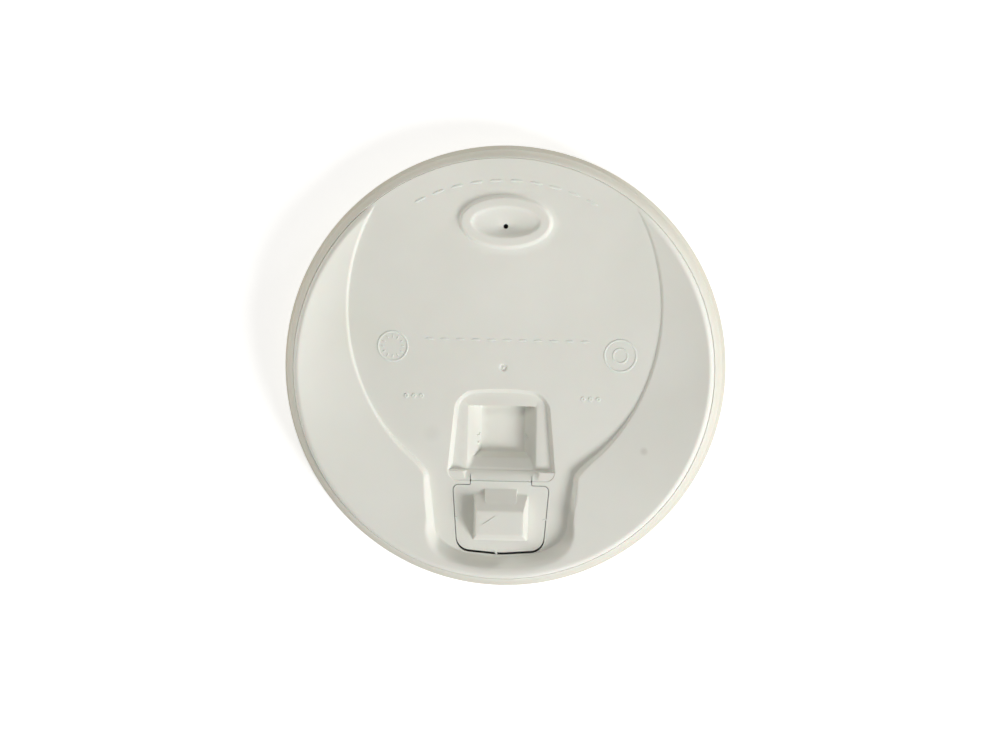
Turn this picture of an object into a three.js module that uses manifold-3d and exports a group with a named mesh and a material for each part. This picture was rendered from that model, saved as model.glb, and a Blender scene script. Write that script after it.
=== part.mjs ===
import * as THREE from 'three';
import { mergeVertices } from 'three/addons/utils/BufferGeometryUtils.js';
import Module from 'manifold-3d';

// Coffee cup lid with a fold-back sip tab, moulded in one shot of white polypropylene.
// Millimetres, +Z up. The origin is the centre of the skirt's bottom plane.
// The drinking side faces -Y and the vent lies towards +Y.

// Overall sizes
const LID_DIAMETER = 94;
const DECK_HEIGHT = 9;
const WALL = 0.6;

// Skirt, from the bottom lip to the rim edge where the deck begins
const LIP_OVERHANG = 0.8;
const LIP_THICKNESS = 0.8;
const LIP_SLOPE = 0.4;
const SKIRT_TAPER = 0.45;
const SHOULDER_INSET = 1.55;
const SHOULDER_DROP = 3;
const SHOULDER_SWEEP = THREE.MathUtils.degToRad(65);

// Inside of the skirt: a snap bead and a sealing ring hold the rolled rim of the cup
const BEAD_HEIGHT = 4.6;
const BEAD_DEPTH = 0.4;
const BEAD_HALF_LENGTH = 0.8;
const CUP_ROLL_WIDTH = 3.1;
const SEAL_RING_LENGTH = 3;

// Raised drinking lip, which fades into two crescents beside the deck
const CREST_HEIGHT = 3;
const CREST_LEDGE = 0.2;
const CREST_ROUND = 1.2;
const CREST_FALL = 0.1;
const CRESCENT_TIP_SETBACK = 9.8;
const CRESCENT_ROOT_DEPTH = 1.5;

// Sunken deck inside the crescents: a bulb that narrows to a channel round the tab
const CRESCENT_WIDTH = 11.5;
const BULB_HALF_LENGTH = 37.9;
const BULB_ABOVE_HINGE = 36.2;
const BULB_DRAFT = 0.5;
const CHANNEL_MARGIN = 5.1;
const CHANNEL_TAPER = 0.13;
const CHANNEL_BLEND = 4;
const CHANNEL_END_LENGTH = 7.3;
const CHANNEL_END_POWER = 2.3;
const CHANNEL_FRONT_DRAFT = 0.67;
const DRINKING_LIP_WIDTH = 4.9;

// Sip tab, cut free on three sides, with a hollow locking nub
const TAB_LENGTH = 15.1;
const TAB_HALF_WIDTH = 10;
const TAB_END_HALF_WIDTH = 8.9;
const TAB_END_BOW = 0.7;
const TAB_END_CORNER = 2.8;
const TAB_SHOULDER_CORNER = 1;
const HINGE_HALF_WIDTH = 6.3;
const HINGE_NECK = 1.05;
const HINGE_LIFT = 0.15;
const HINGE_RELIEF = 1.3;
const SLIT = 0.3;
const FREE_EDGE_GAP = 0.5;
const FREE_EDGE_LAND = 0.3;

const NUB_FROM_HINGE = 2.8;
const NUB_BASE_LENGTH = 9.8;
const NUB_BASE_HALF_WIDTH = 5.6;
const NUB_HEIGHT = 3.5;
const NUB_SIDE_DRAFT = 0.65;
const NUB_FRONT_DRAFT = 1.5;
const NUB_RAMP_LENGTH = 3.15;
const NUB_CORNER = 0.5;
const RIB_HALF_WIDTH = 3.4;
const RIB_THICKNESS = 0.7;
const RIB_HEIGHT = 2;

// Recess that the folded tab lies in, and the deep pocket that its nub locks into
const TAB_SEAT_TILT = THREE.MathUtils.degToRad(3);
const RECESS_DEPTH = 1.2;
const RECESS_LENGTH = 19.35;
const RECESS_SIDE_ROOM = 1.2;
const RECESS_NARROWING = 1.6;
const RECESS_WALL_RUN = 0.7;
const RECESS_NEAR_RUN = 0.3;
const RECESS_FAR_CORNER = 3;
const RECESS_NEAR_CORNER = 0.6;
const HINGE_STRIP = 1.9;

const POCKET_FLOOR_LENGTH = 9.3;
const POCKET_FLOOR_ROOM = 1.2;
const POCKET_FIT = 0.45;
const POCKET_SIDE_DRAFT = 0.68;
const POCKET_NEAR_DRAFT = 0.75;
const POCKET_CORNER = 0.6;
const RAMP_DROP = 1.6;
const RAMP_LENGTH = 2.3;

// Vent dish in a raised oval ring, and the gate mark at the centre
const VENT_SETBACK = 13.6;
const VENT_RING_HALF_WIDTH = 10.05;
const VENT_RING_HALF_LENGTH = 5.95;
const VENT_RING_HEIGHT = 0.9;
const VENT_RING_DRAFT = 0.7;
const VENT_DISH_INSET = 2.5;
const VENT_DISH_DEPTH = 1.3;
const VENT_DISH_DRAFT = 1.3;
const VENT_HOLE_DIAMETER = 1.2;
const VENT_HOLE_OFFSET = 0.9;
const GATE_DIAMETER = 1.6;
const GATE_DEPTH = 0.25;
const GATE_Y = 0.5;

// Facet counts
const TURN_SEGMENTS = 80;
const OVAL_SEGMENTS = 36;
const HOLE_SEGMENTS = 16;
const SHOULDER_STEPS = 4;
const CREST_STEPS = 3;
const CORNER_STEPS = 3;
const BULB_STEPS = 14;
const BLEND_STEPS = 8;
const CHANNEL_END_STEPS = 7;

// Smallest rounding of an outline's corner
const EDGE_RADIUS = 0.05;

// Lengths by which a cutting solid runs past the face that it cuts
const OVERRUN = 1;
const CUT_ROOM = 6;
const CUT_LAP = 0.05;

// Places worked out from the sizes above
const lipRadius = LID_DIAMETER / 2;
const skirtRadius = lipRadius - LIP_OVERHANG;
const shoulderRadius = skirtRadius - SKIRT_TAPER;
const rimRadius = shoulderRadius - SHOULDER_INSET;
const crescentTipY = rimRadius - CRESCENT_TIP_SETBACK;
const channelFrontY = -(rimRadius - DRINKING_LIP_WIDTH);
const channelHalfWidth = TAB_HALF_WIDTH + CHANNEL_MARGIN;
const tabEndY = channelFrontY + FREE_EDGE_LAND + FREE_EDGE_GAP;
const hingeY = tabEndY + TAB_LENGTH;
const bulbCentreY = hingeY + BULB_ABOVE_HINGE;
const ledgeHeight = DECK_HEIGHT - RECESS_DEPTH;
const ventY = rimRadius - VENT_SETBACK;

const white = new THREE.MeshStandardMaterial({ color: 0xe6e5dc, roughness: 0.42, metalness: 0 });

const wasm = await Module();
wasm.setup();

// Turns a closed three.js geometry into a solid that can be joined and cut.
function toSolid(geometry) {
  geometry.deleteAttribute('normal');
  geometry.deleteAttribute('uv');
  const merged = mergeVertices(geometry, 1e-4);
  const index = merged.index.array;
  const triangles = [];
  for (let i = 0; i < index.length; i += 3) {
    const [a, b, c] = [index[i], index[i + 1], index[i + 2]];
    if (a !== b && b !== c && c !== a) triangles.push(a, b, c);
  }
  const mesh = new wasm.Mesh({
    numProp: 3,
    vertProperties: new Float32Array(merged.attributes.position.array),
    triVerts: new Uint32Array(triangles),
  });
  return new wasm.Manifold(mesh);
}

// Turns a finished solid into a named mesh.
function toMesh(name, solid, material) {
  const { vertProperties, triVerts } = solid.getMesh();
  const geometry = new THREE.BufferGeometry();
  geometry.setAttribute('position', new THREE.BufferAttribute(vertProperties, 3));
  geometry.setIndex(new THREE.BufferAttribute(triVerts, 1));
  geometry.computeVertexNormals();
  const mesh = new THREE.Mesh(geometry, material);
  mesh.name = name;
  return mesh;
}

// A solid of revolution about Z. The profile holds [radius, height] pairs from the bottom up.
function turned(profile) {
  const points = profile.map(([radius, height]) => new THREE.Vector2(radius, height));
  const geometry = new THREE.LatheGeometry(points, TURN_SEGMENTS);
  geometry.rotateX(Math.PI / 2);
  return geometry;
}

// A closed ring about Z, whose profile runs anticlockwise and comes back to its first point.
function turnedRing(profile) {
  return toSolid(turned([...profile, profile[0]]));
}

// A solid through flat sections, from the lowest to the highest, with as many points each.
function loft(sections) {
  const count = sections[0].outline.length;
  const positions = [];
  for (const { outline, height } of sections) {
    for (const point of outline) positions.push(point.x, point.y, height);
  }
  const indices = [];
  for (const [a, b, c] of THREE.ShapeUtils.triangulateShape(sections[0].outline, [])) {
    indices.push(a, c, b);
  }
  for (let level = 0; level + 1 < sections.length; level += 1) {
    for (let i = 0; i < count; i += 1) {
      const here = level * count + i;
      const next = level * count + ((i + 1) % count);
      indices.push(here, next, next + count);
      indices.push(here, next + count, here + count);
    }
  }
  const top = (sections.length - 1) * count;
  for (const [a, b, c] of THREE.ShapeUtils.triangulateShape(sections.at(-1).outline, [])) {
    indices.push(top + a, top + b, top + c);
  }
  const geometry = new THREE.BufferGeometry();
  geometry.setAttribute('position', new THREE.Float32BufferAttribute(positions, 3));
  geometry.setIndex(indices);
  return toSolid(geometry);
}

// Corners [x, y, radius], anticlockwise, moved outwards by grow and rounded with arcs.
function roundedOutline(corners, grow = 0) {
  const outline = [];
  const count = corners.length;
  for (let i = 0; i < count; i += 1) {
    const [corner, before, after] = [0, count - 1, 1].map((step) => {
      const [x, y] = corners[(i + step) % count];
      return new THREE.Vector2(x, y);
    });
    const into = corner.clone().sub(before).normalize();
    const out = after.clone().sub(corner).normalize();
    const turn = Math.atan2(into.cross(out), into.dot(out));
    const bisector = new THREE.Vector2(into.y + out.y, -into.x - out.x).normalize();
    const moved = corner.clone().addScaledVector(bisector, grow / Math.cos(turn / 2));
    const radius = Math.max(corners[i][2] + Math.sign(turn) * grow, EDGE_RADIUS);
    const centre = moved.clone().addScaledVector(bisector, -Math.sign(turn) * radius / Math.cos(turn / 2));
    const start = Math.atan2(-into.x, into.y) + (turn < 0 ? Math.PI : 0);
    for (let step = 0; step <= CORNER_STEPS; step += 1) {
      const angle = start + (turn * step) / CORNER_STEPS;
      outline.push(new THREE.Vector2(
        centre.x + radius * Math.cos(angle),
        centre.y + radius * Math.sin(angle),
      ));
    }
  }
  return outline;
}

// Four corners of a shape that is symmetrical about the Y axis, from its near to its far end.
function trapezium(nearY, nearHalfWidth, farY, farHalfWidth, nearRadius, farRadius = nearRadius) {
  return [
    [-nearHalfWidth, nearY, nearRadius],
    [nearHalfWidth, nearY, nearRadius],
    [farHalfWidth, farY, farRadius],
    [-farHalfWidth, farY, farRadius],
  ];
}

function oval(halfWidth, halfLength, centreY) {
  const curve = new THREE.EllipseCurve(0, centreY, halfWidth, halfLength);
  return curve.getPoints(OVAL_SEGMENTS).slice(0, -1);
}

// A straight round cutter along Z.
function pin(diameter, y, bottom, top) {
  const geometry = new THREE.CylinderGeometry(diameter / 2, diameter / 2, top - bottom, HOLE_SEGMENTS);
  geometry.rotateX(Math.PI / 2);
  geometry.translate(0, y, (bottom + top) / 2);
  return toSolid(geometry);
}

// Outer line of the skirt, moved inwards by inset, from the bottom plane to the deck.
function skirtProfile(inset) {
  const shoulderStart = DECK_HEIGHT - SHOULDER_DROP;
  const profile = [[skirtRadius - inset, 0]];
  for (let step = 0; step <= SHOULDER_STEPS; step += 1) {
    const angle = (SHOULDER_SWEEP * step) / SHOULDER_STEPS;
    const inwards = (1 - Math.cos(angle)) / (1 - Math.cos(SHOULDER_SWEEP));
    const upwards = Math.sin(angle) / Math.sin(SHOULDER_SWEEP);
    profile.push([
      shoulderRadius - inset - SHOULDER_INSET * inwards,
      shoulderStart + (SHOULDER_DROP - inset) * upwards,
    ]);
  }
  return profile;
}

function deckPlug(inset) {
  const bottom = inset > 0 ? -OVERRUN : 0;
  const profile = skirtProfile(inset);
  const top = profile.at(-1)[1];
  return toSolid(turned([[0, bottom], [profile[0][0], bottom], ...profile, [0, top]]));
}

// Height of the drinking lip's crest above the deck: full at the front, none at the tips.
function crestLift(y) {
  const reach = (y + rimRadius) / (crescentTipY + rimRadius);
  return CREST_HEIGHT * (1 - reach * reach);
}

// The raised lip as a turned disc whose top follows crestLift and falls towards the middle.
// It is turned with level 0 at its root, 1 at its foot and 2 at its crest, and then lifted.
function crestDisc(inset) {
  const base = DECK_HEIGHT - inset;
  const footRadius = rimRadius - CREST_LEDGE - inset;
  const crestRadius = footRadius - CREST_ROUND;
  const innerRadius = rimRadius - CRESCENT_WIDTH - CUT_ROOM;
  const profile = [[0, 0], [footRadius, 0], [footRadius, 1]];
  for (let step = 1; step <= CREST_STEPS; step += 1) {
    const angle = (Math.PI / 2) * (step / CREST_STEPS);
    profile.push([footRadius - CREST_ROUND * (1 - Math.cos(angle)), 1 + Math.sin(angle)]);
  }
  profile.push([innerRadius, 2], [0, 2]);
  const geometry = turned(profile);
  const position = geometry.attributes.position;
  for (let i = 0; i < position.count; i += 1) {
    const [x, y, level] = [position.getX(i), position.getY(i), position.getZ(i)];
    const fall = CREST_FALL * Math.max(0, crestRadius - Math.hypot(x, y));
    const lift = crestLift(y) * (level - 1) - fall;
    const sunk = base - CRESCENT_ROOT_DEPTH;
    const height = base + Math.max(lift, -CRESCENT_ROOT_DEPTH / 2);
    position.setZ(i, level < 0.5 ? sunk : height);
  }
  return toSolid(geometry);
}

function softMax(a, b, blend) {
  const near = Math.max(blend - Math.abs(a - b), 0) / blend;
  return Math.max(a, b) + (near * near * blend) / 4;
}

// Half of the sunken deck's width at y: an ellipse that runs into the channel round the tab.
function bulbHalfWidth(y, grow) {
  const along = (y - bulbCentreY) / (BULB_HALF_LENGTH + grow);
  const chord = Math.sign(1 - Math.abs(along)) * Math.sqrt(Math.abs(1 - along * along));
  const ellipse = (rimRadius - CRESCENT_WIDTH + grow) * chord;
  const channel = channelHalfWidth + grow - CHANNEL_TAPER * Math.max(0, hingeY - y);
  return softMax(ellipse, channel, CHANNEL_BLEND);
}

// Outline of the sunken deck, anticlockwise, moved outwards by grow and at the front by frontGrow.
function bulbOutline(grow, frontGrow) {
  const endY = channelFrontY - frontGrow;
  const channelStartY = endY + CHANNEL_END_LENGTH;
  const blendStartY = hingeY + 2 * CHANNEL_BLEND;
  const rows = [];
  for (let step = 0; step <= BLEND_STEPS; step += 1) {
    rows.push(channelStartY + ((blendStartY - channelStartY) * step) / BLEND_STEPS);
  }
  const halfLength = BULB_HALF_LENGTH + grow;
  const startAngle = Math.asin((blendStartY - bulbCentreY) / halfLength);
  for (let step = 1; step < BULB_STEPS; step += 1) {
    const angle = startAngle + ((Math.PI / 2 - startAngle) * step) / BULB_STEPS;
    rows.push(bulbCentreY + halfLength * Math.sin(angle));
  }
  const endHalfWidth = bulbHalfWidth(channelStartY, grow);
  const right = [];
  for (let step = 1; step < CHANNEL_END_STEPS; step += 1) {
    const angle = (Math.PI / 2) * (step / CHANNEL_END_STEPS);
    right.push(new THREE.Vector2(
      endHalfWidth * Math.sin(angle) ** (2 / CHANNEL_END_POWER),
      channelStartY - CHANNEL_END_LENGTH * Math.cos(angle) ** (2 / CHANNEL_END_POWER),
    ));
  }
  for (const y of rows) right.push(new THREE.Vector2(bulbHalfWidth(y, grow), y));
  const left = right.map((point) => new THREE.Vector2(-point.x, point.y)).reverse();
  const bottom = new THREE.Vector2(0, endY);
  const top = new THREE.Vector2(0, bulbCentreY + halfLength);
  return [bottom, ...right, top, ...left];
}

function bulbCutter(inset) {
  return loft([
    { outline: bulbOutline(inset, inset), height: DECK_HEIGHT - inset },
    {
      outline: bulbOutline(inset + BULB_DRAFT * CUT_ROOM, inset + CHANNEL_FRONT_DRAFT * CUT_ROOM),
      height: DECK_HEIGHT - inset + CUT_ROOM,
    },
  ]);
}

// Recess for the folded tab. The strip between it and the hinge stays level with the deck.
function recessCutter(inset) {
  const nearHalf = TAB_HALF_WIDTH + RECESS_SIDE_ROOM;
  const farHalf = nearHalf - RECESS_NARROWING;
  const farY = hingeY + RECESS_LENGTH;
  const section = (rise) => {
    const wall = RECESS_WALL_RUN * rise;
    const corners = trapezium(
      hingeY + HINGE_STRIP + RECESS_NEAR_RUN * (1 - rise),
      nearHalf - RECESS_WALL_RUN + wall,
      farY - RECESS_WALL_RUN + wall,
      farHalf - RECESS_WALL_RUN + wall,
      RECESS_NEAR_CORNER,
      RECESS_FAR_CORNER,
    );
    return { outline: roundedOutline(corners, inset), height: ledgeHeight + RECESS_DEPTH * rise - inset };
  };
  const high = section(1);
  return loft([section(0), high, { outline: high.outline, height: high.height + OVERRUN }]);
}

// A point of the folded tab, given by its distance from the hinge and its height over the tab.
function foldedPoint(distance, height) {
  const [cos, sin] = [Math.cos(TAB_SEAT_TILT), Math.sin(TAB_SEAT_TILT)];
  const above = height - HINGE_LIFT;
  return {
    y: hingeY + distance * cos - above * sin,
    z: DECK_HEIGHT + HINGE_LIFT - distance * sin - above * cos,
  };
}

// Pocket round the folded nub, with a ramp on its hinge side.
function pocketCutters(inset) {
  const topHalf = NUB_BASE_HALF_WIDTH - NUB_SIDE_DRAFT;
  const nearTip = foldedPoint(NUB_FROM_HINGE + NUB_RAMP_LENGTH, NUB_HEIGHT);
  const farTip = foldedPoint(NUB_FROM_HINGE + NUB_BASE_LENGTH - NUB_FRONT_DRAFT, NUB_HEIGHT);
  const floor = farTip.z - POCKET_FLOOR_ROOM;
  const halfWidth = (z) => topHalf + POCKET_FIT + POCKET_SIDE_DRAFT * (z - farTip.z);
  const nearY = (z) => nearTip.y - POCKET_FIT - POCKET_NEAR_DRAFT * (z - nearTip.z);
  const farY = nearY(floor) + POCKET_FLOOR_LENGTH;
  const section = (z, near, half) => ({
    outline: roundedOutline(trapezium(near, half, farY, half, POCKET_CORNER), inset),
    height: z - inset,
  });
  const top = ledgeHeight + CUT_LAP;
  const knee = ledgeHeight - RAMP_DROP;
  const rampTopY = nearY(knee) - RAMP_LENGTH * ((top - knee) / RAMP_DROP);
  const pocket = loft([
    section(floor, nearY(floor), halfWidth(floor)),
    section(top, nearY(top), halfWidth(top)),
  ]);
  const ramp = loft([
    section(knee, nearY(knee), halfWidth(knee)),
    section(top, rampTopY, halfWidth(top)),
  ]);
  return pocket.add(ramp);
}

// Locking nub on the tab, with a long slope towards the hinge.
function nub(inset) {
  const nearY = hingeY - NUB_FROM_HINGE;
  const farY = nearY - NUB_BASE_LENGTH;
  const topHalf = NUB_BASE_HALF_WIDTH - NUB_SIDE_DRAFT;
  const base = trapezium(farY, NUB_BASE_HALF_WIDTH, nearY, NUB_BASE_HALF_WIDTH, NUB_CORNER);
  const top = trapezium(farY + NUB_FRONT_DRAFT, topHalf, nearY - NUB_RAMP_LENGTH, topHalf, NUB_CORNER);
  return loft([
    { outline: roundedOutline(base, -inset), height: DECK_HEIGHT - inset - WALL / 2 },
    { outline: roundedOutline(base, -inset), height: DECK_HEIGHT - inset },
    { outline: roundedOutline(top, -inset), height: DECK_HEIGHT + NUB_HEIGHT - inset },
  ]);
}

// Flat rib that lies along the nub's slope.
function slopeRib() {
  const slope = NUB_RAMP_LENGTH / NUB_HEIGHT;
  const footY = hingeY - NUB_FROM_HINGE + RIB_THICKNESS;
  const backY = footY - NUB_BASE_LENGTH / 2;
  const section = (height) => ({
    outline: roundedOutline(trapezium(
      backY,
      RIB_HALF_WIDTH,
      footY - slope * height,
      RIB_HALF_WIDTH,
      EDGE_RADIUS,
    )),
    height: DECK_HEIGHT + height,
  });
  return loft([section(-WALL / 2), section(RIB_HEIGHT)]);
}

function ventRing(inset) {
  const section = (draft, height) => ({
    outline: oval(VENT_RING_HALF_WIDTH - draft - inset, VENT_RING_HALF_LENGTH - draft - inset, ventY),
    height,
  });
  return loft([
    section(0, DECK_HEIGHT - inset - WALL / 2),
    section(0, DECK_HEIGHT - inset),
    section(VENT_RING_DRAFT, DECK_HEIGHT + VENT_RING_HEIGHT - inset),
  ]);
}

function ventDish(inset) {
  const brim = DECK_HEIGHT + VENT_RING_HEIGHT - inset;
  const section = (draft, height) => ({
    outline: oval(
      VENT_RING_HALF_WIDTH - VENT_DISH_INSET - draft + inset,
      VENT_RING_HALF_LENGTH - VENT_DISH_INSET - draft + inset,
      ventY,
    ),
    height,
  });
  return loft([
    section(VENT_DISH_DRAFT, brim - VENT_DISH_DEPTH),
    section(0, brim),
    section(0, brim + OVERRUN),
  ]);
}

// The lid as a filled form, with its top faces and its skirt moved inwards by inset.
function lidForm(inset) {
  return deckPlug(inset)
    .add(crestDisc(inset))
    .subtract(bulbCutter(inset))
    .subtract(recessCutter(inset))
    .subtract(pocketCutters(inset))
    .add(nub(inset))
    .add(ventRing(inset))
    .subtract(ventDish(inset));
}

function lipFlange() {
  const rootRadius = skirtRadius - WALL / 2;
  return turnedRing([
    [rootRadius, 0],
    [lipRadius, 0],
    [lipRadius, LIP_THICKNESS],
    [rootRadius, LIP_THICKNESS + LIP_SLOPE],
  ]);
}

function snapBead() {
  const slope = SKIRT_TAPER / (DECK_HEIGHT - SHOULDER_DROP);
  const innerRadius = skirtRadius - WALL - slope * BEAD_HEIGHT;
  const rootRadius = innerRadius + WALL / 2;
  return turnedRing([
    [rootRadius, BEAD_HEIGHT - BEAD_HALF_LENGTH],
    [rootRadius, BEAD_HEIGHT + BEAD_HALF_LENGTH],
    [innerRadius - BEAD_DEPTH, BEAD_HEIGHT + BEAD_HALF_LENGTH / 4],
    [innerRadius - BEAD_DEPTH, BEAD_HEIGHT - BEAD_HALF_LENGTH / 4],
  ]);
}

// Ring that stands inside the cup's rolled rim, cut off where it meets the lid's outer form.
function sealRing(form) {
  const outerRadius = shoulderRadius - WALL - CUP_ROLL_WIDTH;
  const bottom = DECK_HEIGHT - WALL - SEAL_RING_LENGTH;
  const top = DECK_HEIGHT + CREST_HEIGHT;
  return turnedRing([
    [outerRadius - WALL, bottom],
    [outerRadius, bottom],
    [outerRadius, top],
    [outerRadius - WALL, top],
  ]).intersect(form);
}

// Outline of the tab. The neck carries the hinge, and the free end bows towards the lip.
function tabCorners(endGap) {
  const neckY = hingeY - SLIT / 2;
  const shoulderY = hingeY - HINGE_NECK;
  const cornerY = tabEndY - endGap + TAB_END_BOW;
  return [
    [-HINGE_HALF_WIDTH, neckY, EDGE_RADIUS],
    [-HINGE_HALF_WIDTH, shoulderY, SLIT],
    [-TAB_HALF_WIDTH, shoulderY, TAB_SHOULDER_CORNER],
    [-TAB_END_HALF_WIDTH, cornerY, TAB_END_CORNER],
    [0, tabEndY - endGap, TAB_LENGTH],
    [TAB_END_HALF_WIDTH, cornerY, TAB_END_CORNER],
    [TAB_HALF_WIDTH, shoulderY, TAB_SHOULDER_CORNER],
    [HINGE_HALF_WIDTH, shoulderY, SLIT],
    [HINGE_HALF_WIDTH, neckY, EDGE_RADIUS],
  ];
}

function uprightCutter(outline) {
  const bottom = DECK_HEIGHT - CUT_ROOM;
  return loft([{ outline, height: bottom }, { outline, height: DECK_HEIGHT + CUT_ROOM }]);
}

// Opening under the tab, with a relief slit at each end of the hinge.
function tabOpening() {
  const opening = uprightCutter(roundedOutline(tabCorners(FREE_EDGE_GAP - SLIT), SLIT));
  const reliefs = [-1, 1].map((side) => {
    const [inner, outer] = [side * HINGE_HALF_WIDTH, side * (HINGE_HALF_WIDTH + SLIT)];
    const [left, right] = [Math.min(inner, outer), Math.max(inner, outer)];
    const corners = [
      [left, hingeY - HINGE_NECK, EDGE_RADIUS],
      [right, hingeY - HINGE_NECK, EDGE_RADIUS],
      [right, hingeY + HINGE_RELIEF, EDGE_RADIUS],
      [left, hingeY + HINGE_RELIEF, EDGE_RADIUS],
    ];
    return uprightCutter(roundedOutline(corners));
  });
  return opening.add(reliefs[0]).add(reliefs[1]);
}

const form = lidForm(0).add(slopeRib());
const shell = form.subtract(lidForm(WALL)).add(sealRing(form)).add(lipFlange()).add(snapBead());

function lidBody() {
  const ventHoleY = ventY - VENT_HOLE_OFFSET;
  const ventHole = pin(VENT_HOLE_DIAMETER, ventHoleY, DECK_HEIGHT - CUT_ROOM, DECK_HEIGHT + CUT_ROOM);
  const gateMark = pin(GATE_DIAMETER, GATE_Y, DECK_HEIGHT - GATE_DEPTH, DECK_HEIGHT + OVERRUN);
  return shell.subtract(tabOpening()).subtract(ventHole).subtract(gateMark);
}

function sipTab() {
  return shell.intersect(uprightCutter(roundedOutline(tabCorners(0))));
}

const lid = new THREE.Group();
lid.add(toMesh('lid_body', lidBody(), white));
lid.add(toMesh('sip_tab', sipTab(), white));

export default lid;
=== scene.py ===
import math

import bpy
import numpy as np
from mathutils import Matrix, Vector
from mathutils.geometry import delaunay_2d_cdt


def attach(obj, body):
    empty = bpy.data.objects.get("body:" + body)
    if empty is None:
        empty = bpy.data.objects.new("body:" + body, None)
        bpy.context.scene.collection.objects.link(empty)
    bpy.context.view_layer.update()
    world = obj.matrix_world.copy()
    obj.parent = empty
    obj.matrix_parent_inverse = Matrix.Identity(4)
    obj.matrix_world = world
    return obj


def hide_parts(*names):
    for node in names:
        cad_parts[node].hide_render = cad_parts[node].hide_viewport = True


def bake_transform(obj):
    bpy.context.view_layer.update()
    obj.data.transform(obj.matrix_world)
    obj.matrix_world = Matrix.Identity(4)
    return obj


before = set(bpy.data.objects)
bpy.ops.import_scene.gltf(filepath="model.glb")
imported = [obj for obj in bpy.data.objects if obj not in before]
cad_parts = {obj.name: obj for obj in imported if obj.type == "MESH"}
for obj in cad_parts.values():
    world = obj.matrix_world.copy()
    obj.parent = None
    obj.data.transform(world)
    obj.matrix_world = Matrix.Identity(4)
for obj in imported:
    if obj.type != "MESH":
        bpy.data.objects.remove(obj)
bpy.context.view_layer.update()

# Coffee cup lid with a fold-back sip tab. The lid and the tab are thin shells: a top face that
# follows one height function, an underside one wall thickness below it, and a turned skirt.
# Lengths are in millimetres, as in the CAD model, and become metres when a mesh is made.

MM = 0.001

# Main sizes
WALL = 0.6
DECK = 9.0
LIP_RADIUS = 47.0
SKIRT_RADIUS = 46.2
SKIRT_DRAFT = 0.075
SHOULDER_RADIUS = 45.75
RIM_RADIUS = 44.2
RIM_GROOVE = 0.2
RIM_GROOVE_RADIUS = 44.08
RIM_GROOVE_HALF_WIDTH = 0.1
SHOULDER_DROP = 3.0
SHOULDER_SWEEP = math.radians(65)
LIP_ROOT = 1.2
LIP_ROOT_FILLET = ((-0.06, 1.3), (0.08, LIP_ROOT - 0.06))  # off the skirt, and height
LIP_TOP = 0.92
LIP_ROUND_Z = 0.62
LIP_TOP_ROUND = 0.25
LIP_FOOT_ROUND = 0.12
INNER_CHAMFER = 0.15
BEAD_HEIGHT = 4.6
BEAD_DEPTH = 0.4
BEAD_HALF_LENGTH = 0.8
SEAL_RADIUS = 42.05
SEAL_BOTTOM = 5.4
# Offset from the middle, and height over the lower edge, or None where it meets the deck
SEAL_SECTION = ((-0.3, None), (-0.3, 0.12), (-0.22, 0.03), (-0.1, 0.0),
                (0.1, 0.0), (0.22, 0.03), (0.3, 0.12), (0.3, None))

# Drinking lip and crescents
CREST_HEIGHT = 3.0
CREST_FOOT = 44.0
CREST_ROUND = 1.2
CREST_RADIUS = CREST_FOOT - CREST_ROUND
CREST_FALL = (0.06, 0.42)  # inward slope at the two places of CREST_FALL_Y
CREST_FALL_Y = (-34.0, 16.0)
CREST_EASE = (30.0, 9.0)  # length over which that slope flattens
CREST_EASE_Y = (-25.0, 5.0)
CREST_POWER = 6
CREST_FILLET = (0.3, 0.9)  # where it meets the wall of the deck, at the sides and in front
DECK_FILLET = 0.15
CRESCENT_TIP_Y = 34.4

# Sunken deck
HINGE_Y = -23.4
BULB_HALF_WIDTH = 32.7
BULB_HALF_LENGTH = 37.9
BULB_CENTRE_Y = 12.8
BULB_DRAFT = 0.5
CHANNEL_HALF_WIDTH = 15.1
CHANNEL_TAPER = 0.13
CHANNEL_BLEND = 4.0
CHANNEL_FRONT_Y = -39.3
CHANNEL_END_LENGTH = 7.3
CHANNEL_START_Y = CHANNEL_FRONT_Y + CHANNEL_END_LENGTH
CHANNEL_END_POWER = 2.3
CHANNEL_FRONT_DRAFT = 0.8

# Sip tab and its nub
TAB_END_Y = -38.5
TAB_HALF_WIDTH = 10.0
TAB_END_HALF_WIDTH = 8.9
TAB_END_BOW = 0.7
TAB_END_RADIUS = 15.1
TAB_END_CORNER = 2.8
TAB_SHOULDER_CORNER = 1.0
NECK_CORNER = 0.3
SHARP = 0.05  # the smallest corner radius
TAB_SHOULDER_Y = HINGE_Y - 1.05
NECK_HALF_WIDTH = 6.3
SLIT = 0.3
SLIT_SEEN = 0.14
SLIT_INSET = (SLIT - SLIT_SEEN) / 2
SLIT_END_BEVEL = (0.04, 0.05)
FREE_EDGE_GAP = 0.5
HINGE_RELIEF = 1.3
TAB_CENTRE_Y = -31.0
NUB_NEAR_Y = HINGE_Y - 2.8
NUB_FAR_Y = NUB_NEAR_Y - 9.8
NUB_HALF_WIDTH = 5.8
NUB_HEIGHT = 3.5
NUB_SIDE_DRAFT = 0.8
NUB_FRONT_DRAFT = 1.5
NUB_RAMP = 3.15
NUB_CORNER = 0.3
NUB_CORNER_FILLET = 0.3
NUB_RAMP_FILLET = 0.1
NUB_TOP_FILLET = 0.12
NUB_FOOT_FILLET = 0.2
RIB_HALF_WIDTH = 3.4
RIB_THICKNESS = 1.2
RIB_HEIGHT = 2.0
RIB_END = 2.5
RIB_SIDE_RUN = 0.06
RIB_FILLET = 0.15
RIB_FOOT_FILLET = 0.1

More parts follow.
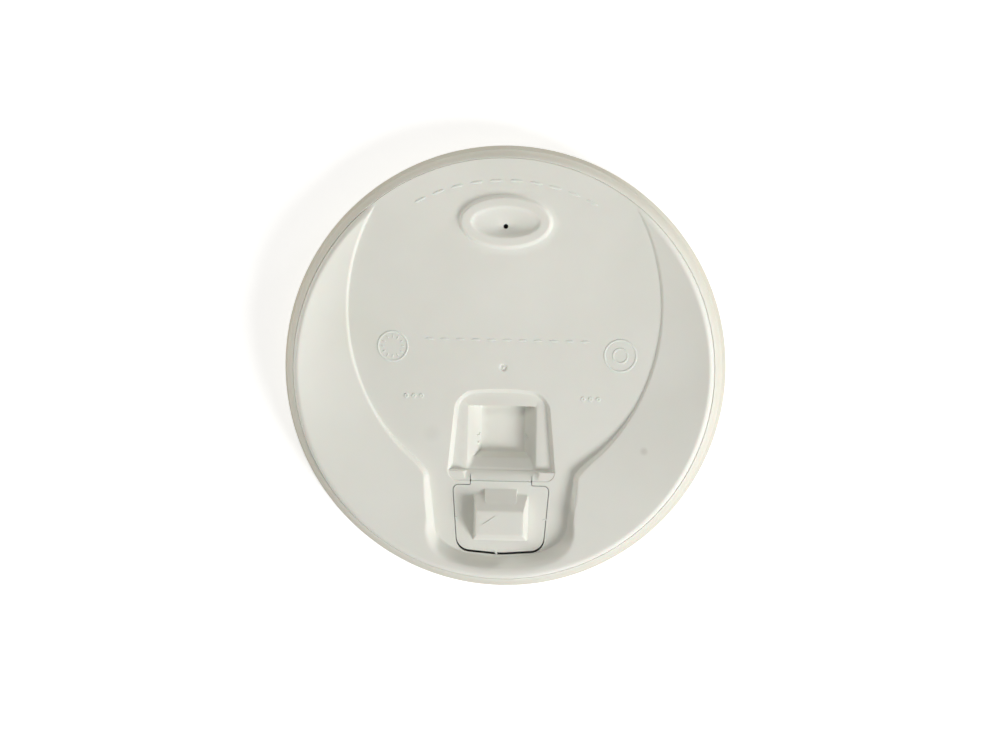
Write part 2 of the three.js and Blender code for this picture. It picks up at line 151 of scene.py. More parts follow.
# Recess, hinge strip and pocket
LEDGE = 7.8
RECESS_NEAR_Y = -21.5
RECESS_FAR_Y = -4.6
RECESS_NEAR_HALF = 11.2
RECESS_FAR_HALF = 9.6
RECESS_WALL_RUN = 0.8
RECESS_NEAR_RUN = 0.3
RECESS_FAR_CORNER = 3.4
RECESS_BOW = 0.9
RECESS_NEAR_CORNER = 0.6
RECESS_FILLET = 0.3
RECESS_REACH = 14.0
STRIP_DEPTH = 0.12
STRIP_CORNER = 1.9
STRIP_RUN = 0.12
STRIP_FILLET = 0.12
POCKET_FLOOR = 4.02
POCKET_HALF = 4.58
POCKET_CORNER = 0.5
POCKET_NEAR_Y = -17.7
POCKET_FAR_Y = -8.0
POCKET_SIDE_DRAFT = 0.68
POCKET_NEAR_DRAFT = 0.45
POCKET_FAR_STEEPNESS = 12
POCKET_WALL_FILLET = 0.5
POCKET_NEAR_FILLET = 0.4
POCKET_FLOOR_FILLET = 0.25
POCKET_EDGE_FILLET = 0.25
RAMP_KNEE = 6.2
RAMP_SLOPE = 1.6 / 2.3
RAMP_FOOT_FILLET = 0.2
RAMP_KNEE_FILLET = 0.15

# Vent
VENT_Y = 30.8
RING_HALF = (9.8, 5.6)
RING_HEIGHT = 0.9
RING_RUN = 0.5
DISH_HALF = (7.3, 3.3)
DISH_WALL = 0.3
DISH_WALL_RUN = 0.7
DISH_DEPTH = 1.6
BOWL_POWER = 0.9
VENT_FILLET = 0.5
HOLE_Y = VENT_Y - 0.9
HOLE_RADIUS = 0.5
GATE_Y = 0.5
GATE_DIMPLE = (0.85, 0.3, 0.25)  # radius, run of the wall, depth
GATE_VESTIGE = (0.4, 0.25, 0.14)  # radius, run of the wall, height

# Web of the hinge: its overlap with both sides, the two steps from its middle line, and its
# heights, those of the top in order from the lid to the tab
WEB_OVERLAP = 0.12
WEB_STEPS = (0.09, 0.04)
WEB_TOPS = (8.86, 8.86, 8.85, 8.8, 8.77, 8.8, 8.86, 8.93, 8.96)
WEB_BOTTOM = 8.62

# Moulded marks. A bead is the width and the rise of a raised line.
MARK_ROOT = 0.15
ARC_RADIUS = 39.4
ARC_DASHES = np.radians(np.linspace(63, 117, 10))
ARC_DASH = np.radians(np.linspace(-1.9, 1.9, 7))
ARC_BEAD = (0.55, 0.13)
ROW_Y = 6.2
ROW_DASHES = np.linspace(-15.5, 17, 11)
ROW_DASH_HALF = 0.95
ROW_BEAD = (0.5, 0.1)
DIAL = np.array([-23.2, 4.5])
DIAL_RADIUS = 3.1
DIAL_TICK = (1.7, 2.5)
TICK_BEAD = (0.35, 0.09)
TARGET = np.array([24.4, 3.4])
TARGET_RADII = (3.3, 1.5)
RING_BEAD = (0.45, 0.11)
DOTS_X = (-20.2, -18.6, -17.0, 16.8, 18.4, 20.0)
DOTS_Y = -5.8
DOT_RADIUS = 0.3
DOT_BEAD = (0.5, 0.1)

# Wear, as strokes of points and the bead that they are drawn with
FLASH_STROKES = (
    [(-5.45, -14.15), (-5.05, -14.35), (-4.75, -13.7)],
    [(4.75, -13.9), (5.1, -14.4), (5.5, -14.6)],
    [(-5.2, -15.6), (-4.95, -16.1)],
)
FLASH_BEAD = (0.28, 0.26)
SCRATCH_STROKES = (
    [(-3.5, -32.2), (-2.3, -31.4), (-0.9, -30.4)],
    [(-2.6, -33.6), (-2.3, -34.0)],
    [(-1.5, -33.2), (-1.3, -33.5)],
)
SCRATCH_BEAD = (0.11, 0.03)
NICK_STROKES = (
    [(-1.2, -38.1), (-0.85, -38.6), (-0.6, -38.98)],
    [(8.9, -31.45), (9.65, -31.3)],
    [(-8.9, -31.2), (-9.6, -31.3)],
)
NICK_BEAD = (0.42, 0.12)
NICK_BASE = DECK - 0.04

# Age, painted shade and dirt: the skirt is darker and warmer than the top, partly as it has
# yellowed a little and partly as painted shade on the lid's sides, and the top has a spot and
# two smudges, each with its place, its radius and its tint
SKIRT_SHADE_AND_YELLOWING = (0.9, 0.88, 0.83)
STAINS = (
    (29.7, -16.3, 1.0, (0.86, 0.85, 0.84)),
    (-14.7, -13.7, 2.2, (0.95, 0.95, 0.95)),
    (-30.0, 8.0, 9.0, (0.985, 0.985, 0.97)),
)

# Mesh: spacing of its points, over faces and along lines
SCATTER = 1.6
TAB_SCATTER = 0.9
RIM_POINTS = 480
ROUND_POINTS = 28
CREASE_POINTS = 60
BULB_SPACING = 0.5
OVAL_SPACING = 0.4
RECESS_SPACING = 0.35
STRIP_SPACING = 0.25
OPENING_SPACING = 0.3
TAB_SPACING = 0.25
NUB_SPACING = 0.3
BURR_SPACING = 0.12
NICK_SPACING = 0.1

# Mesh: the lines that it follows, as radii, heights, shares of a slope or distances from an edge
RIM_LINES = (RIM_GROOVE_RADIUS, CREST_FOOT, 43.98, 43.9, 43.75, 43.5, 43.2, 42.9, 42.6)
INNER_RIM_LINES = (42.2, 41.6, 40.8)
RING_LINES = (0.25, 0.0, -0.15, -0.3, -0.5, -0.7, -0.9, -1.2)
DISH_LINES = (0.5, 0.25, 0.0, -0.15, -0.3, -0.45, -0.65, -1.0, -1.6, -2.2)
HOLE_LINES = (0.75, 0.95, 1.3)
GATE_LINES = (0.12, 0.28, 0.42, 0.55, 0.7, 0.85, 1.0)
RECESS_LINES = (0.35, 0.15, 0.0, -0.15, -0.35, -0.55, -0.75, -0.9, -1.05, -1.25)
POCKET_LINES = (3.8, 4.1, 4.4, 4.8, 5.3, 5.8, 6.3, 6.8, 7.3, 7.6, 7.9, 8.1)
BULB_LINES = (-0.4, -0.2, -0.05, 0.1, 0.25, 0.45, 0.65, 0.85, 1.05, 1.3, 1.6, 1.9, 2.3, 2.8)
STRIP_LINES = (0.16, 0.08, 0.03, -0.03, -0.08, -0.16)
CREASE_LINES = (0.2, 0.1, 0.0, -0.1, -0.3)
CREASE_HALF = 11.6
NUB_LINES = (-0.1, 0.0, 0.06, 0.12, 0.2, 0.3, 0.4, 0.5, 0.6, 0.7, 0.8, 0.88, 0.94, 1.0, 1.06, 1.15)
RIB_SIDE_LINES = (-0.1, -0.04, 0.02, 0.08)
RIB_LINES = (1.3, 1.2, 1.1, 0.95, 0.6, 0.2, -0.9, -1.05, -1.2)
RIB_REACH = (-2.6, 1.4)
RIB_REACH_HALF = 3.5
SKIRT_LINES = (5.0, 4.0, 3.0, 2.0, 1.5)
INNER_SKIRT_LINES = (1.0, 2.0, 3.0, 3.6, 3.8, 4.0, 4.2, 4.4, 4.6, 4.8, 5.0, 5.2, 5.4, 5.7)

# Rings of points on a ball whose radius is the wall: share of that radius, and how many points
BALL_RINGS = ((0.25, 8), (0.5, 12), (0.7, 16), (0.85, 20), (0.95, 24), (0.995, 24))

# Plastic
COLOUR = (0.765, 0.76, 0.71)
SHADE = (0.735, 0.73, 0.675)
ROUGHNESS = 0.55
CLOUD_SCALE = 60.0
GRAIN_SCALE = 2600.0

# Camera, fitted to the outline and the rim of the lid in the photograph
SENSOR_WIDTH = 36.0
IMAGE_WIDTH = 1000
PIXEL = 0.209  # mm at the deck
CAMERA_DISTANCE = 0.400
CAMERA_TILT = 4.6
CAMERA_AZIMUTH = 62.5
CAMERA_ROLL = -1.06
CAMERA_SHIFT = (-3.1, -5.2)  # pixels

# Light: each lamp's name, azimuth, elevation, distance, size, power and colour
WORLD_LEVEL = 0.27
WORLD_COLOUR = (1, 1, 0.98, 1)
LIGHT_TARGET = (0, 0, 0.005)
LIGHTS = (
    ("key", -42, 32, 0.9, 0.34, 6.8, (1, 1, 1)),
    ("fill", 112, 60, 0.25, 0.1, 0.12, (1.0, 0.95, 0.86)),
    ("right_rim", 45, 5, 0.45, 0.06, 0.58, (1, 1, 1)),
    ("left_rim", 180, 5, 0.45, 0.06, 0.52, (1.0, 0.97, 0.92)),
)

# Floor: seen brighter than it is lit, but not under the lid, where the slits look through to it
FLOOR_HALF = 1.5
FLOOR_TONE = 0.8
LIFT_RADII = (45.5, 46.5)
LIFT_STRENGTH = 0.5


# Height of the top face

def smooth_max(a, b, blend):
    """The larger value, with the change-over rounded across the blend."""
    near = np.maximum(blend - np.abs(a - b), 0) / blend
    return np.maximum(a, b) + near * near * blend / 4


def smooth_min(a, b, blend):
    return -smooth_max(-a, -b, blend)


def soft_positive(value, blend):
    """The value where it is above zero, eased in over the blend, and zero below."""
    low = np.clip(value, 0, blend)
    return low * low / (2 * blend) + np.maximum(value - blend, 0)


def soft_step(value, blend=0.25):
    """0 below 0 and 1 above 1, straight between them, with both corners rounded."""
    return smooth_max(smooth_min(value, 1.0 + 0 * value, blend), 0 * value, blend)


def eased(value, limits, results):
    """The first result up to the lower limit, the second from the upper one, eased between."""
    share = np.clip((value - limits[0]) / (limits[1] - limits[0]), 0, 1)
    return results[0] + (results[1] - results[0]) * share * share * (3 - 2 * share)


def bulb_half_width(y):
    along = (y - BULB_CENTRE_Y) / BULB_HALF_LENGTH
    chord = np.sign(1 - np.abs(along)) * np.sqrt(np.abs(1 - along * along))
    channel = CHANNEL_HALF_WIDTH - CHANNEL_TAPER * np.maximum(0, HINGE_Y - y)
    return smooth_max(BULB_HALF_WIDTH * chord, channel, CHANNEL_BLEND)


def outside_bulb(x, y):
    """Distance outside the outline of the sunken deck, negative within it."""
    step = 0.01
    slope = (bulb_half_width(y + step) - bulb_half_width(y - step)) / (2 * step)
    side = (np.abs(x) - bulb_half_width(y)) / np.hypot(1, slope)
    end_half = bulb_half_width(np.array(CHANNEL_START_Y))
    u = np.abs(x) / end_half
    v = np.maximum(CHANNEL_START_Y - y, 0) / CHANNEL_END_LENGTH
    power = CHANNEL_END_POWER
    size = np.maximum((u ** power + v ** power) ** (1 / power), 1e-3)
    steepness = np.hypot((u / size) ** (power - 1) / end_half,
                         (v / size) ** (power - 1) / CHANNEL_END_LENGTH)
    end = (size - 1) / np.maximum(steepness, 1e-3)
    return np.where(y < CHANNEL_START_Y, end, side)


def crescent(x, y):
    """Height of the drinking lip and the crescents over the deck, before they meet it."""
    radius = np.hypot(x, y)
    reach = (y + RIM_RADIUS) / (CRESCENT_TIP_Y + RIM_RADIUS)
    lift = CREST_HEIGHT * (1 - np.abs(reach) ** CREST_POWER)
    shoulder = np.clip((radius - CREST_RADIUS) / CREST_ROUND, 0, 1)
    slope = eased(y, CREST_FALL_Y, CREST_FALL)
    ease = eased(y, CREST_EASE_Y, CREST_EASE)
    fall = slope * ease * (1 - np.exp(-np.maximum(0, CREST_RADIUS - radius) / ease))
    return lift * np.sqrt(1 - shoulder * shoulder) - fall


def raised_lip(x, y):
    front = np.clip((CHANNEL_START_Y - y) / CHANNEL_END_LENGTH, 0, 1)
    draft = BULB_DRAFT + (CHANNEL_FRONT_DRAFT - BULB_DRAFT) * front
    fillet = CREST_FILLET[0] + (CREST_FILLET[1] - CREST_FILLET[0]) * front
    wall = smooth_min(outside_bulb(x, y) / draft, crescent(x, y), fillet)
    return soft_positive(wall, DECK_FILLET)


def outside_oval(x, y, half_width, half_length):
    size = np.maximum(np.hypot(x / half_width, y / half_length), 1e-3)
    steepness = np.hypot(x / half_width ** 2, y / half_length ** 2) / size
    return (size - 1) / np.maximum(steepness, 1e-3)


def vent(x, y):
    """Raised oval ring with a bowl in it, whose lowest point is the vent hole."""
    dy = y - VENT_Y
    ring = RING_HEIGHT * soft_step(-outside_oval(x, dy, *RING_HALF) / RING_RUN, VENT_FILLET)
    into_dish = -outside_oval(x, dy, *DISH_HALF)
    # Each contour of the bowl lies between the dish's outline (share 1) and the hole (share 0).
    # A few rounds find the share of the contour that passes through the point.
    share = np.ones_like(x)
    offset = VENT_Y - HOLE_Y
    for _ in range(8):
        share = np.hypot(x / DISH_HALF[0], (dy + offset * (1 - share)) / DISH_HALF[1])
        share = np.clip(share, 0, 1)
    bowl = (DISH_DEPTH - DISH_WALL) * (1 - share) ** BOWL_POWER
    return ring - DISH_WALL * soft_step(into_dish / DISH_WALL_RUN, VENT_FILLET) - bowl


def round_max(a, b, radius):
    """The larger distance, with a round corner of this radius where the two meet."""
    corner = np.hypot(np.maximum(a + radius, 0), np.maximum(b + radius, 0))
    return np.minimum(np.maximum(a, b), -radius) + corner


def recess(x, y):
    """Height of the recess for the folded tab, rising past the deck outside it."""
    along = (y - RECESS_NEAR_Y) / (RECESS_FAR_Y - RECESS_NEAR_Y)
    half = RECESS_NEAR_HALF + (RECESS_FAR_HALF - RECESS_NEAR_HALF) * along
    side = np.abs(x) - half
    far = y - RECESS_FAR_Y - RECESS_BOW * (0.5 - (x / RECESS_FAR_HALF) ** 2)
    near = (RECESS_NEAR_Y - y) * RECESS_WALL_RUN / RECESS_NEAR_RUN
    outside = np.maximum(round_max(side, far, RECESS_FAR_CORNER),
                         round_max(side, near, RECESS_NEAR_CORNER))
    rise = (DECK - LEDGE) / RECESS_WALL_RUN
    return LEDGE + soft_positive((outside + RECESS_WALL_RUN) * rise, RECESS_FILLET)


def strip(x, y):
    """Shallow step of the strip between the recess and the hinge."""
    side = np.abs(x) - RECESS_NEAR_HALF
    outside = round_max(side, HINGE_Y - y, STRIP_CORNER)
    outside = np.maximum(outside, y - RECESS_NEAR_Y - 1)
    return DECK - STRIP_DEPTH * soft_step(-outside / STRIP_RUN + 0.5)


def pocket(x, y):
    """Height of the locking pocket and of the ramp on its hinge side."""
    side = POCKET_FLOOR + (np.abs(x) - POCKET_HALF) / POCKET_SIDE_DRAFT
    far = POCKET_FLOOR + (y - POCKET_FAR_Y) * POCKET_FAR_STEEPNESS
    walls = smooth_max(side, far, POCKET_WALL_FILLET)
    near = POCKET_FLOOR + (POCKET_NEAR_Y - y) / POCKET_NEAR_DRAFT
    well = smooth_max(near, walls, POCKET_NEAR_FILLET)
    well = smooth_max(well, POCKET_FLOOR + 0 * x, POCKET_FLOOR_FILLET)
    knee_y = POCKET_NEAR_Y - (RAMP_KNEE - POCKET_FLOOR) * POCKET_NEAR_DRAFT
    slope = RAMP_KNEE + (knee_y - y) * RAMP_SLOPE
    ramp = smooth_max(slope, RAMP_KNEE + 0 * x, RAMP_FOOT_FILLET)
    ramp = smooth_max(ramp, walls, POCKET_WALL_FILLET)
    return smooth_min(well, ramp, RAMP_KNEE_FILLET)


def nub(x, y):
    """Height of the tab's nub and rib over the tab."""
    side = (NUB_HALF_WIDTH - np.abs(x)) / NUB_SIDE_DRAFT
    front = (y - NUB_FAR_Y) / NUB_FRONT_DRAFT
    ramp = (NUB_NEAR_Y - y) / NUB_RAMP
    block = smooth_min(smooth_min(side, front, NUB_CORNER_FILLET),
                       smooth_min(ramp, 1 + 0 * x, NUB_RAMP_FILLET), NUB_TOP_FILLET)
    run = RIB_HEIGHT * NUB_RAMP / NUB_HEIGHT + RIB_THICKNESS
    rib = (NUB_NEAR_Y + RIB_THICKNESS - y) * RIB_HEIGHT / run
    rib = smooth_min(rib, (RIB_HALF_WIDTH - np.abs(x)) / RIB_SIDE_RUN, RIB_FILLET)
    rib = np.where(y > NUB_NEAR_Y - RIB_END, rib, 0)
    return np.maximum(soft_positive(NUB_HEIGHT * block, NUB_FOOT_FILLET),
                      soft_positive(rib, RIB_FOOT_FILLET))


def gate(x, y):
    """Shallow dimple of the gate, with the vestige at its centre."""
    radius = np.hypot(x, y - GATE_Y)
    (dimple, dimple_run, depth), (vestige, vestige_run, rise) = GATE_DIMPLE, GATE_VESTIGE
    return (rise * soft_step((vestige - radius) / vestige_run)
            - depth * soft_step((dimple - radius) / dimple_run))


def skirt_curve():
    """Outer line of the shoulder, as radii and heights from the rim edge downwards."""
    angle = np.linspace(SHOULDER_SWEEP, 0, 17)
    inwards = (1 - np.cos(angle)) / (1 - math.cos(SHOULDER_SWEEP))
    radius = SHOULDER_RADIUS - (SHOULDER_RADIUS - RIM_RADIUS) * inwards
    height = DECK - SHOULDER_DROP * (1 - np.sin(angle) / math.sin(SHOULDER_SWEEP))
    return radius, height


def top_height(x, y):
    """Height of the lid's outer surface, out to where the shoulder turns down."""
    radius = np.hypot(x, y)
    height = DECK + raised_lip(x, y) + vent(x, y) + gate(x, y)
    off_groove = np.abs(radius - RIM_GROOVE_RADIUS) / RIM_GROOVE_HALF_WIDTH
    height = height - RIM_GROOVE * np.clip(1 - off_groove, 0, 1)
    sunk = smooth_min(recess(x, y), strip(x, y), STRIP_FILLET)
    sunk = smooth_min(sunk, pocket(x, y), POCKET_EDGE_FILLET)
    near_recess = (y < RECESS_FAR_Y + 2) & (np.abs(x) < RECESS_REACH)
    height = np.where(near_recess, height - DECK + np.minimum(sunk, DECK), height)
    return np.where(radius > RIM_RADIUS, np.interp(radius, *skirt_curve()), height)


def tab_height(x, y):
    return DECK + nub(x, y)


def under_height(height_of, x, y):
    """Underside one wall thickness below a surface: what a ball rolling under it touches."""
    lowest = height_of(x, y) - WALL
    for share, count in BALL_RINGS:
        radius = share * WALL
        drop = math.sqrt(WALL ** 2 - radius ** 2)
        for angle in np.linspace(0, 2 * math.pi, count, endpoint=False):
            around = height_of(x + radius * math.cos(angle), y + radius * math.sin(angle))
            lowest = np.minimum(lowest, around - drop)
    return lowest


# Lines that the faces follow

def resampled(line, spacing, closed=True):
    """The same line with points at an even spacing."""
    line = np.asarray(line, float)
    if closed:
        line = np.vstack([line, line[:1]])
    run = np.concatenate([[0], np.cumsum(np.hypot(*np.diff(line, axis=0).T))])
    count = max(3, int(round(run[-1] / spacing)))
    at = np.linspace(0, run[-1], count + 1)
    if closed:
        at = at[:-1]
    return np.column_stack([np.interp(at, run, line[:, 0]), np.interp(at, run, line[:, 1])])


def rounded_outline(corners, grow=0.0, arc_steps=10):
    """Corners (x, y, radius), anticlockwise, moved outwards by grow and rounded with arcs."""
    points = []
    for i, (x, y, radius) in enumerate(corners):
        here = np.array([x, y])
        before = np.array(corners[i - 1][:2])
        after = np.array(corners[(i + 1) % len(corners)][:2])
        into = (here - before) / np.hypot(*(here - before))
        out = (after - here) / np.hypot(*(after - here))
        turn = math.atan2(into[0] * out[1] - into[1] * out[0], into @ out)
        bisector = np.array([into[1] + out[1], -into[0] - out[0]])
        bisector /= np.hypot(*bisector)
        side = math.copysign(1, turn)
        size = max(radius + side * grow, SHARP)
        centre = here + bisector * (grow - side * size) / math.cos(turn / 2)
        start = math.atan2(-into[0], into[1]) + (math.pi if turn < 0 else 0)
        for angle in start + turn * np.linspace(0, 1, arc_steps + 1):
            points.append(centre + size * np.array([math.cos(angle), math.sin(angle)]))
    return np.array(points)


def tab_outline(grow=0.0, end_gap=0.0):
    """Outline of the tab, which fills the slit round it but for the width that shows."""
    grow += SLIT_INSET
    neck_y = HINGE_Y - SLIT / 2 - SLIT_INSET
    corner_y = TAB_END_Y - end_gap + TAB_END_BOW
    right = [
        (TAB_END_HALF_WIDTH, corner_y, TAB_END_CORNER),
        (TAB_HALF_WIDTH, TAB_SHOULDER_Y, TAB_SHOULDER_CORNER),
        (NECK_HALF_WIDTH, TAB_SHOULDER_Y, NECK_CORNER),
        (NECK_HALF_WIDTH, neck_y, SHARP),
    ]
    left = [(-x, y, radius) for x, y, radius in reversed(right)]
    middle = (0, TAB_END_Y - end_gap, TAB_END_RADIUS)
    return rounded_outline([middle, *right, *left], grow)


def opening_outline():
    """Edge of the lid round the tab, with a relief slit at each end of the hinge."""
    line = [tuple(p) for p in tab_outline(SLIT_SEEN, FREE_EDGE_GAP - SLIT_SEEN)]
    edge_y = HINGE_Y + SLIT / 2
    top_y = HINGE_Y + HINGE_RELIEF
    inner = NECK_HALF_WIDTH + SLIT_INSET
    outer = inner + SLIT_SEEN
    # Both halves of the outline short of the neck, in order round the tab
    lower = [p for p in line if p[1] < HINGE_Y - 0.5]
    right = [p for p in lower if p[0] >= 0]
    left = [p for p in lower if p[0] < 0]
    right.sort(key=lambda p: math.atan2(p[1] - TAB_CENTRE_Y, p[0]))
    left.sort(key=lambda p: math.atan2(p[1] - TAB_CENTRE_Y, p[0]) % (2 * math.pi))
    across, along = SLIT_END_BEVEL
    slit = [(outer, top_y - along), (outer - across, top_y),
            (inner + across, top_y), (inner, top_y - along)]
    mirrored = [(-x, y) for x, y in reversed(slit)]
    return np.array([*right, *slit, (inner, edge_y), (-inner, edge_y), *mirrored, *left])


def oval_line(half_width, half_length, grow, centre_y):
    angle = np.linspace(0, 2 * math.pi, 400, endpoint=False)
    x, y = half_width * np.cos(angle), half_length * np.sin(angle)
    normal = np.column_stack([np.cos(angle) / half_width, np.sin(angle) / half_length])
    normal /= np.hypot(*normal.T)[:, None]
    return np.column_stack([x, y + centre_y]) + grow * normal


def circle(radius, count=0, centre_y=0.0):
    count = count or int(2 * math.pi * radius / 0.6)
    angle = np.linspace(0, 2 * math.pi, count, endpoint=False)
    return np.column_stack([radius * np.cos(angle), radius * np.sin(angle) + centre_y])


def bulb_line(offset):
    """Half outline of the sunken deck at this distance outside it, from the front to the rim."""
    y = np.linspace(CHANNEL_START_Y, 40, 500)
    slope = np.gradient(bulb_half_width(y), y)
    normal = np.column_stack([np.ones_like(y), -slope]) / np.hypot(1, slope)[:, None]
    side = np.column_stack([bulb_half_width(y), y]) + offset * normal
    angle = np.linspace(0, math.pi / 2, 60)[:-1]
    end_half = bulb_half_width(np.array(CHANNEL_START_Y))
    power = 2 / CHANNEL_END_POWER
    end = np.column_stack([
        (end_half + offset) * np.sin(angle) ** power,
        CHANNEL_START_Y - (CHANNEL_END_LENGTH + offset) * np.cos(angle) ** power,
    ])
    right = np.vstack([end, side])
    right = right[np.hypot(*right.T) < CREST_FOOT - 0.4]
    left = right[::-1] * [-1, 1]
    return np.vstack([left[:-1], right])


def inside(points, polygon):
    """Which points lie inside a closed polygon."""
    x, y = points[:, 0], points[:, 1]
    result = np.zeros(len(points), bool)
    for (x1, y1), (x2, y2) in zip(polygon, np.roll(polygon, -1, axis=0)):
        if y1 == y2:
            continue
        crosses = (y1 > y) != (y2 > y)
        result ^= crosses & (x < (x2 - x1) * (y - y1) / (y2 - y1) + x1)
    return result


def scattered(polygon, lines, spacing):
    """Even points inside a polygon that keep away from the lines."""
    low, high = polygon.min(0), polygon.max(0)
    columns = np.arange(low[0], high[0], spacing)
    rows = np.arange(low[1], high[1], spacing * 0.866)
    grid = np.array([(x + spacing / 2 * (i % 2), y) for i, y in enumerate(rows) for x in columns])
    grid = grid[inside(grid, polygon)]
    taken = np.vstack(lines)
    free = np.ones(len(grid), bool)
    for start in range(0, len(grid), 500):
        block = grid[start:start + 500]
        gap = np.hypot(block[:, None, 0] - taken[None, :, 0], block[:, None, 1] - taken[None, :, 1])
        free[start:start + 500] = gap.min(1) > spacing * 0.45
    return grid[free]


def triangulated(loops, paths, holes, spacing):
    """Triangles of the area inside the first loop, along all loops and paths, without the holes."""
    points, edges = [], []
    for line, closed in [(l, True) for l in loops] + [(p, False) for p in paths]:
        first = len(points)
        points.extend(line)
        edges.extend((first + i, first + i + 1) for i in range(len(line) - 1))
        if closed:
            edges.append((first + len(line) - 1, first))
    points.extend(scattered(loops[0], [*loops, *paths], spacing))
    found, _, faces, *_ = delaunay_2d_cdt([Vector(p) for p in points], edges, [], 0, 1e-5)
    xy = np.array([tuple(p) for p in found])
    faces = np.array(faces)
    centres = xy[faces].mean(1)
    keep = inside(centres, loops[0])
    for hole in holes:
        keep &= ~inside(centres, hole)
    faces = faces[keep]
    a, b, c = xy[faces[:, 0]], xy[faces[:, 1]], xy[faces[:, 2]]
    area = (b[:, 0] - a[:, 0]) * (c[:, 1] - a[:, 1]) - (b[:, 1] - a[:, 1]) * (c[:, 0] - a[:, 0])
    faces[area < 0] = faces[area < 0][:, ::-1]
    used, faces = np.unique(faces, return_inverse=True)
    return xy[used], faces.reshape(-1, 3)


def boundary_edges(faces):
    """Directed edges that belong to one triangle only."""
    directed = set()
    for a, b, c in faces.tolist():
        for edge in ((a, b), (b, c), (c, a)):
            if edge[::-1] in directed:
                directed.remove(edge[::-1])
            else:
                directed.add(edge)
    return sorted(directed)


# Objects

def add_object(name, points, faces, material, smooth_angle=40):
    mesh = bpy.data.meshes.new(name)
    mesh.from_pydata((np.asarray(points) * MM).tolist(), [], [list(map(int, f)) for f in faces])
    mesh.validate()
    mesh.shade_smooth()
    mesh.set_sharp_from_angle(angle=math.radians(smooth_angle))
    mesh.materials.append(material)
    obj = bpy.data.objects.new(name, mesh)
    bpy.context.scene.collection.objects.link(obj)
    return obj


def shell(xy, faces, top, bottom):
    """Points and faces of a thin shell, open nowhere but at the edges that are returned."""
    count = len(xy)
    points = np.vstack([np.column_stack([xy, top]), np.column_stack([xy, bottom])])
    all_faces = faces.tolist() + (faces[:, ::-1] + count).tolist()
    return points, all_faces, boundary_edges(faces)


def contour_loops():
    """Closed lines on the lid's top where its height bends."""
    loops = [circle(radius, RIM_POINTS) for radius in RIM_LINES]
    loops += [circle(radius, RIM_POINTS // 2) for radius in INNER_RIM_LINES]
    loops += [resampled(oval_line(*RING_HALF, grow, VENT_Y), OVAL_SPACING) for grow in RING_LINES]
    loops += [resampled(oval_line(*DISH_HALF, grow, VENT_Y), OVAL_SPACING) for grow in DISH_LINES]
    loops += [circle(radius, ROUND_POINTS, HOLE_Y) for radius in HOLE_LINES]
    loops += [circle(radius, ROUND_POINTS, GATE_Y) for radius in GATE_LINES]
    recess_corners = [
        (-RECESS_NEAR_HALF, RECESS_NEAR_Y, RECESS_NEAR_CORNER),
        (RECESS_NEAR_HALF, RECESS_NEAR_Y, RECESS_NEAR_CORNER),
        (RECESS_FAR_HALF, RECESS_FAR_Y, RECESS_FAR_CORNER),
        (-RECESS_FAR_HALF, RECESS_FAR_Y, RECESS_FAR_CORNER),
    ]
    for grow in RECESS_LINES:
        line = resampled(rounded_outline(recess_corners, grow), RECESS_SPACING)
        bow = RECESS_BOW * (0.5 - (line[:, 0] / RECESS_FAR_HALF) ** 2)
        line[:, 1] += np.where(line[:, 1] > RECESS_FAR_Y - 3, bow, 0)
        loops.append(line)
    for height in POCKET_LINES:
        half = POCKET_HALF + (height - POCKET_FLOOR) * POCKET_SIDE_DRAFT
        near = POCKET_NEAR_Y - (height - POCKET_FLOOR) * POCKET_NEAR_DRAFT
        far = POCKET_FAR_Y + (height - POCKET_FLOOR) / POCKET_FAR_STEEPNESS
        corners = [(x, y, POCKET_CORNER)
                   for x, y in ((-half, near), (half, near), (half, far), (-half, far))]
        loops.append(resampled(rounded_outline(corners), RECESS_SPACING))
    return loops


def contour_paths():
    """Open lines on the lid's top where its height bends."""
    paths = [resampled(bulb_line(offset), BULB_SPACING, False) for offset in BULB_LINES]
    half = RECESS_NEAR_HALF
    strip_corners = [(-half, HINGE_Y, STRIP_CORNER), (half, HINGE_Y, STRIP_CORNER),
                     (half, RECESS_NEAR_Y, SHARP), (-half, RECESS_NEAR_Y, SHARP)]
    for grow in STRIP_LINES:
        # The first half of the outline is the two corners at the hinge
        outline = rounded_outline(strip_corners, grow)
        line = outline[:len(outline) // 2]
        ends = (-half - grow, RECESS_NEAR_Y - 0.4), (half + grow, RECESS_NEAR_Y - 0.4)
        paths.append(resampled([ends[0], *line, ends[1]], STRIP_SPACING, False))
    for offset in CREASE_LINES:
        x = np.linspace(-CREASE_HALF, CREASE_HALF, CREASE_POINTS)
        paths.append(np.column_stack([x, np.full(CREASE_POINTS, RECESS_NEAR_Y + offset)]))
    return paths


def lid_mesh():
    """Top and underside out to the rim, with the edges of the rim left open."""
    opening = resampled(opening_outline(), OPENING_SPACING)
    hole = circle(HOLE_RADIUS, 32, HOLE_Y)
    loops = [circle(RIM_RADIUS, RIM_POINTS), opening, hole, *contour_loops()]
    xy, faces = triangulated(loops, contour_paths(), [opening, hole], SCATTER)
    top = top_height(xy[:, 0], xy[:, 1])
    bottom = under_height(top_height, xy[:, 0], xy[:, 1])
    points, all_faces, edges = shell(xy, faces, top, bottom)
    count = len(xy)
    at_rim = np.hypot(*xy.T) > RIM_RADIUS - 0.02
    ring = []
    for a, b in edges:
        if at_rim[a] and at_rim[b]:
            ring.append((a, b))
        else:
            all_faces.append([b, a, a + count, b + count])
    return points, all_faces, ring, count


